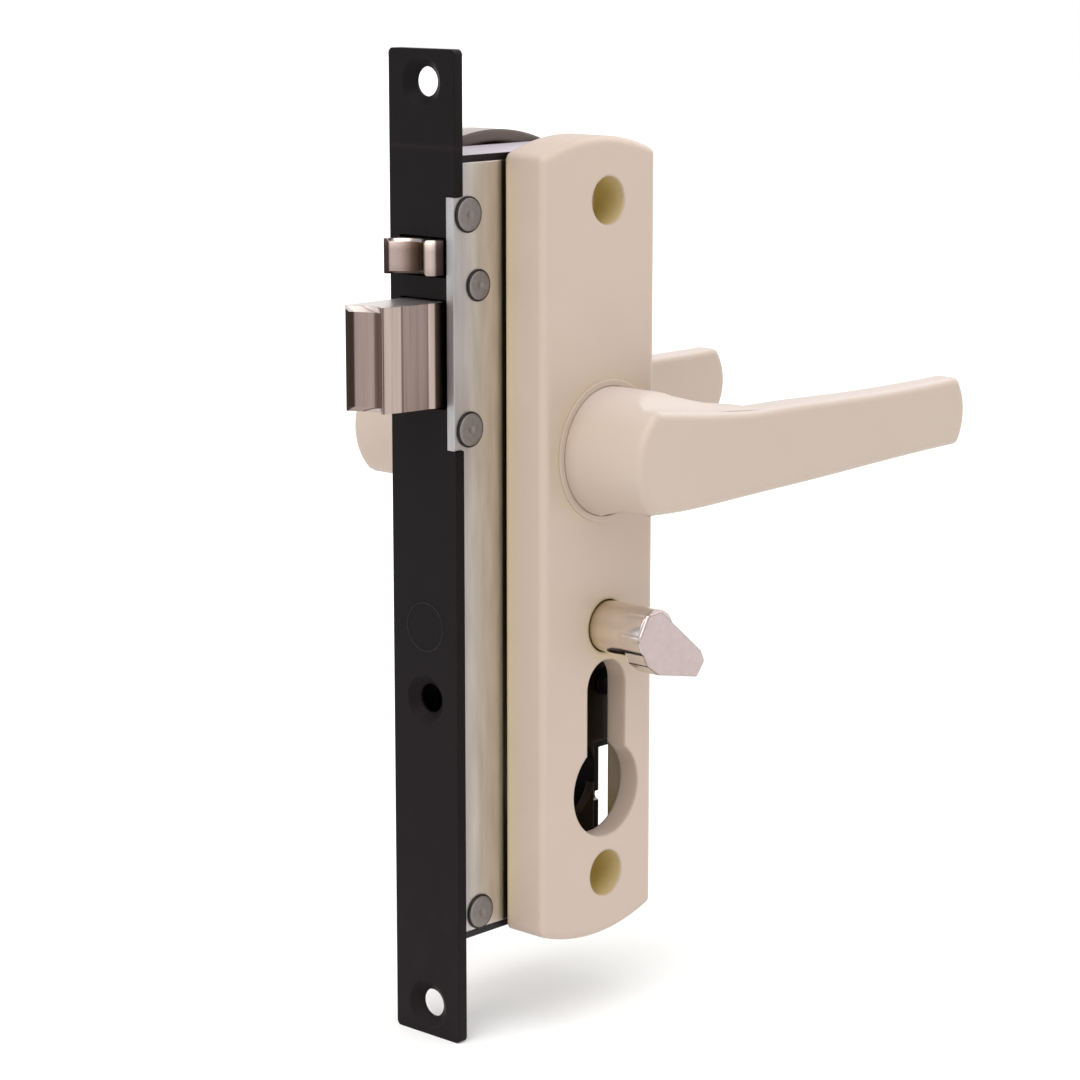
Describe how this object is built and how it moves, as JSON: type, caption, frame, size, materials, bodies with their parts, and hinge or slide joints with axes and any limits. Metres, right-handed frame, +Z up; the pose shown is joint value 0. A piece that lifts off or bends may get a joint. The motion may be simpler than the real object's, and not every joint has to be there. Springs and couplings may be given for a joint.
{
  "type": "screen door mortice lock",
  "caption": "Narrow mortice lock set for a hinged screen door: faceplate, case, sprung latches, two lever plates, snib turn and a profile cylinder cut-out.",
  "frame": {"origin": "centre of the faceplate's front face, midway between its two screw holes", "axes": "+X from the faceplate into the door edge, +Z up along the faceplate, -Y towards the inside plate with the snib turn"},
  "size_m": [0.1334, 0.0724, 0.18],
  "materials": {
    "cream_paint": "satin powder coat",
    "cream_nylon": "satin",
    "black_steel": "satin black powder coat",
    "zinc_steel": "zinc plated sheet",
    "rivet_steel": "dull",
    "nickel": "satin nickel plate",
    "bare_steel": "bright turned steel",
    "spring_steel": "oiled spring steel",
    "cast_zinc": "as cast zinc alloy"
  },
  "bodies": {
    "case": {"faceplate": "black_steel", "face_spigot": "black_steel", "lock_case": "black_steel", "case_cover": "zinc_steel", "case_rivets": "rivet_steel", "inside_plate": "cream_paint", "outside_plate": "cream_paint", "inside_bush": "cream_nylon", "outside_bush": "cream_nylon", "spring_peg": "bare_steel", "return_spring": "spring_steel", "spring_post": "bare_steel", "latch_spring": "spring_steel", "aux_guide": "bare_steel", "aux_spring": "spring_steel", "deadlatch_pivot": "bare_steel"},
    "handles": {"inside_lever": "cream_paint", "outside_lever": "cream_paint", "lever_circlips": "spring_steel", "lever_grub_screws": "spring_steel", "spindle": "bare_steel", "hub_follower": "cast_zinc"},
    "latch": {"latch_bolt": "nickel", "latch_tail": "zinc_steel"},
    "auxiliary": {"aux_latch": "nickel", "aux_stem": "bare_steel"},
    "deadlatch": {"deadlatch_lever": "cast_zinc"},
    "snib": {"snib_turn": "nickel", "snib_circlip": "spring_steel", "snib_cam": "cast_zinc"},
    "deadlock": {"deadlock_slide": "zinc_steel"}
  },
  "joints": [
    {"name": "handle_turn", "type": "hinge", "parent": "case", "child": "handles", "pos_m": [0.029, 0, 0.0177], "axis": [0, 1, 0], "range_deg": [0, 43], "stiffness_Nm_per_rad": 0.9, "springref_deg": -28.65, "deforming": ["return_spring"]},
    {"name": "latch_draw", "type": "slide", "parent": "case", "child": "latch", "axis": [1, 0, 0], "range_m": [0, 0.01468], "deforming": ["latch_spring"]},
    {"name": "aux_push", "type": "slide", "parent": "case", "child": "auxiliary", "axis": [1, 0, 0], "range_m": [0, 0.0044], "stiffness_N_per_m": 250, "springref_m": -0.006, "deforming": ["aux_spring"]},
    {"name": "deadlatch_swing", "type": "hinge", "parent": "case", "child": "deadlatch", "pos_m": [0.0375, 0, 0.063], "axis": [0, -1, 0], "range_deg": [0, 25.26]},
    {"name": "snib_turn", "type": "hinge", "parent": "case", "child": "snib", "pos_m": [0.029, 0, -0.0147], "axis": [0, -1, 0], "range_deg": [0, 60]},
    {"name": "deadlock_lift", "type": "slide", "parent": "case", "child": "deadlock", "axis": [0, 0, 1], "range_m": [0, 0.00602]}
  ],
  "couplings": [
    {"joint": "latch_draw", "follows": "handle_turn", "m_per_rad": 0.019534},
    {"joint": "deadlatch_swing", "follows": "aux_push", "rad_per_m": 100},
    {"joint": "deadlock_lift", "follows": "snib_turn", "m_per_rad": 0.0057296}
  ]
}
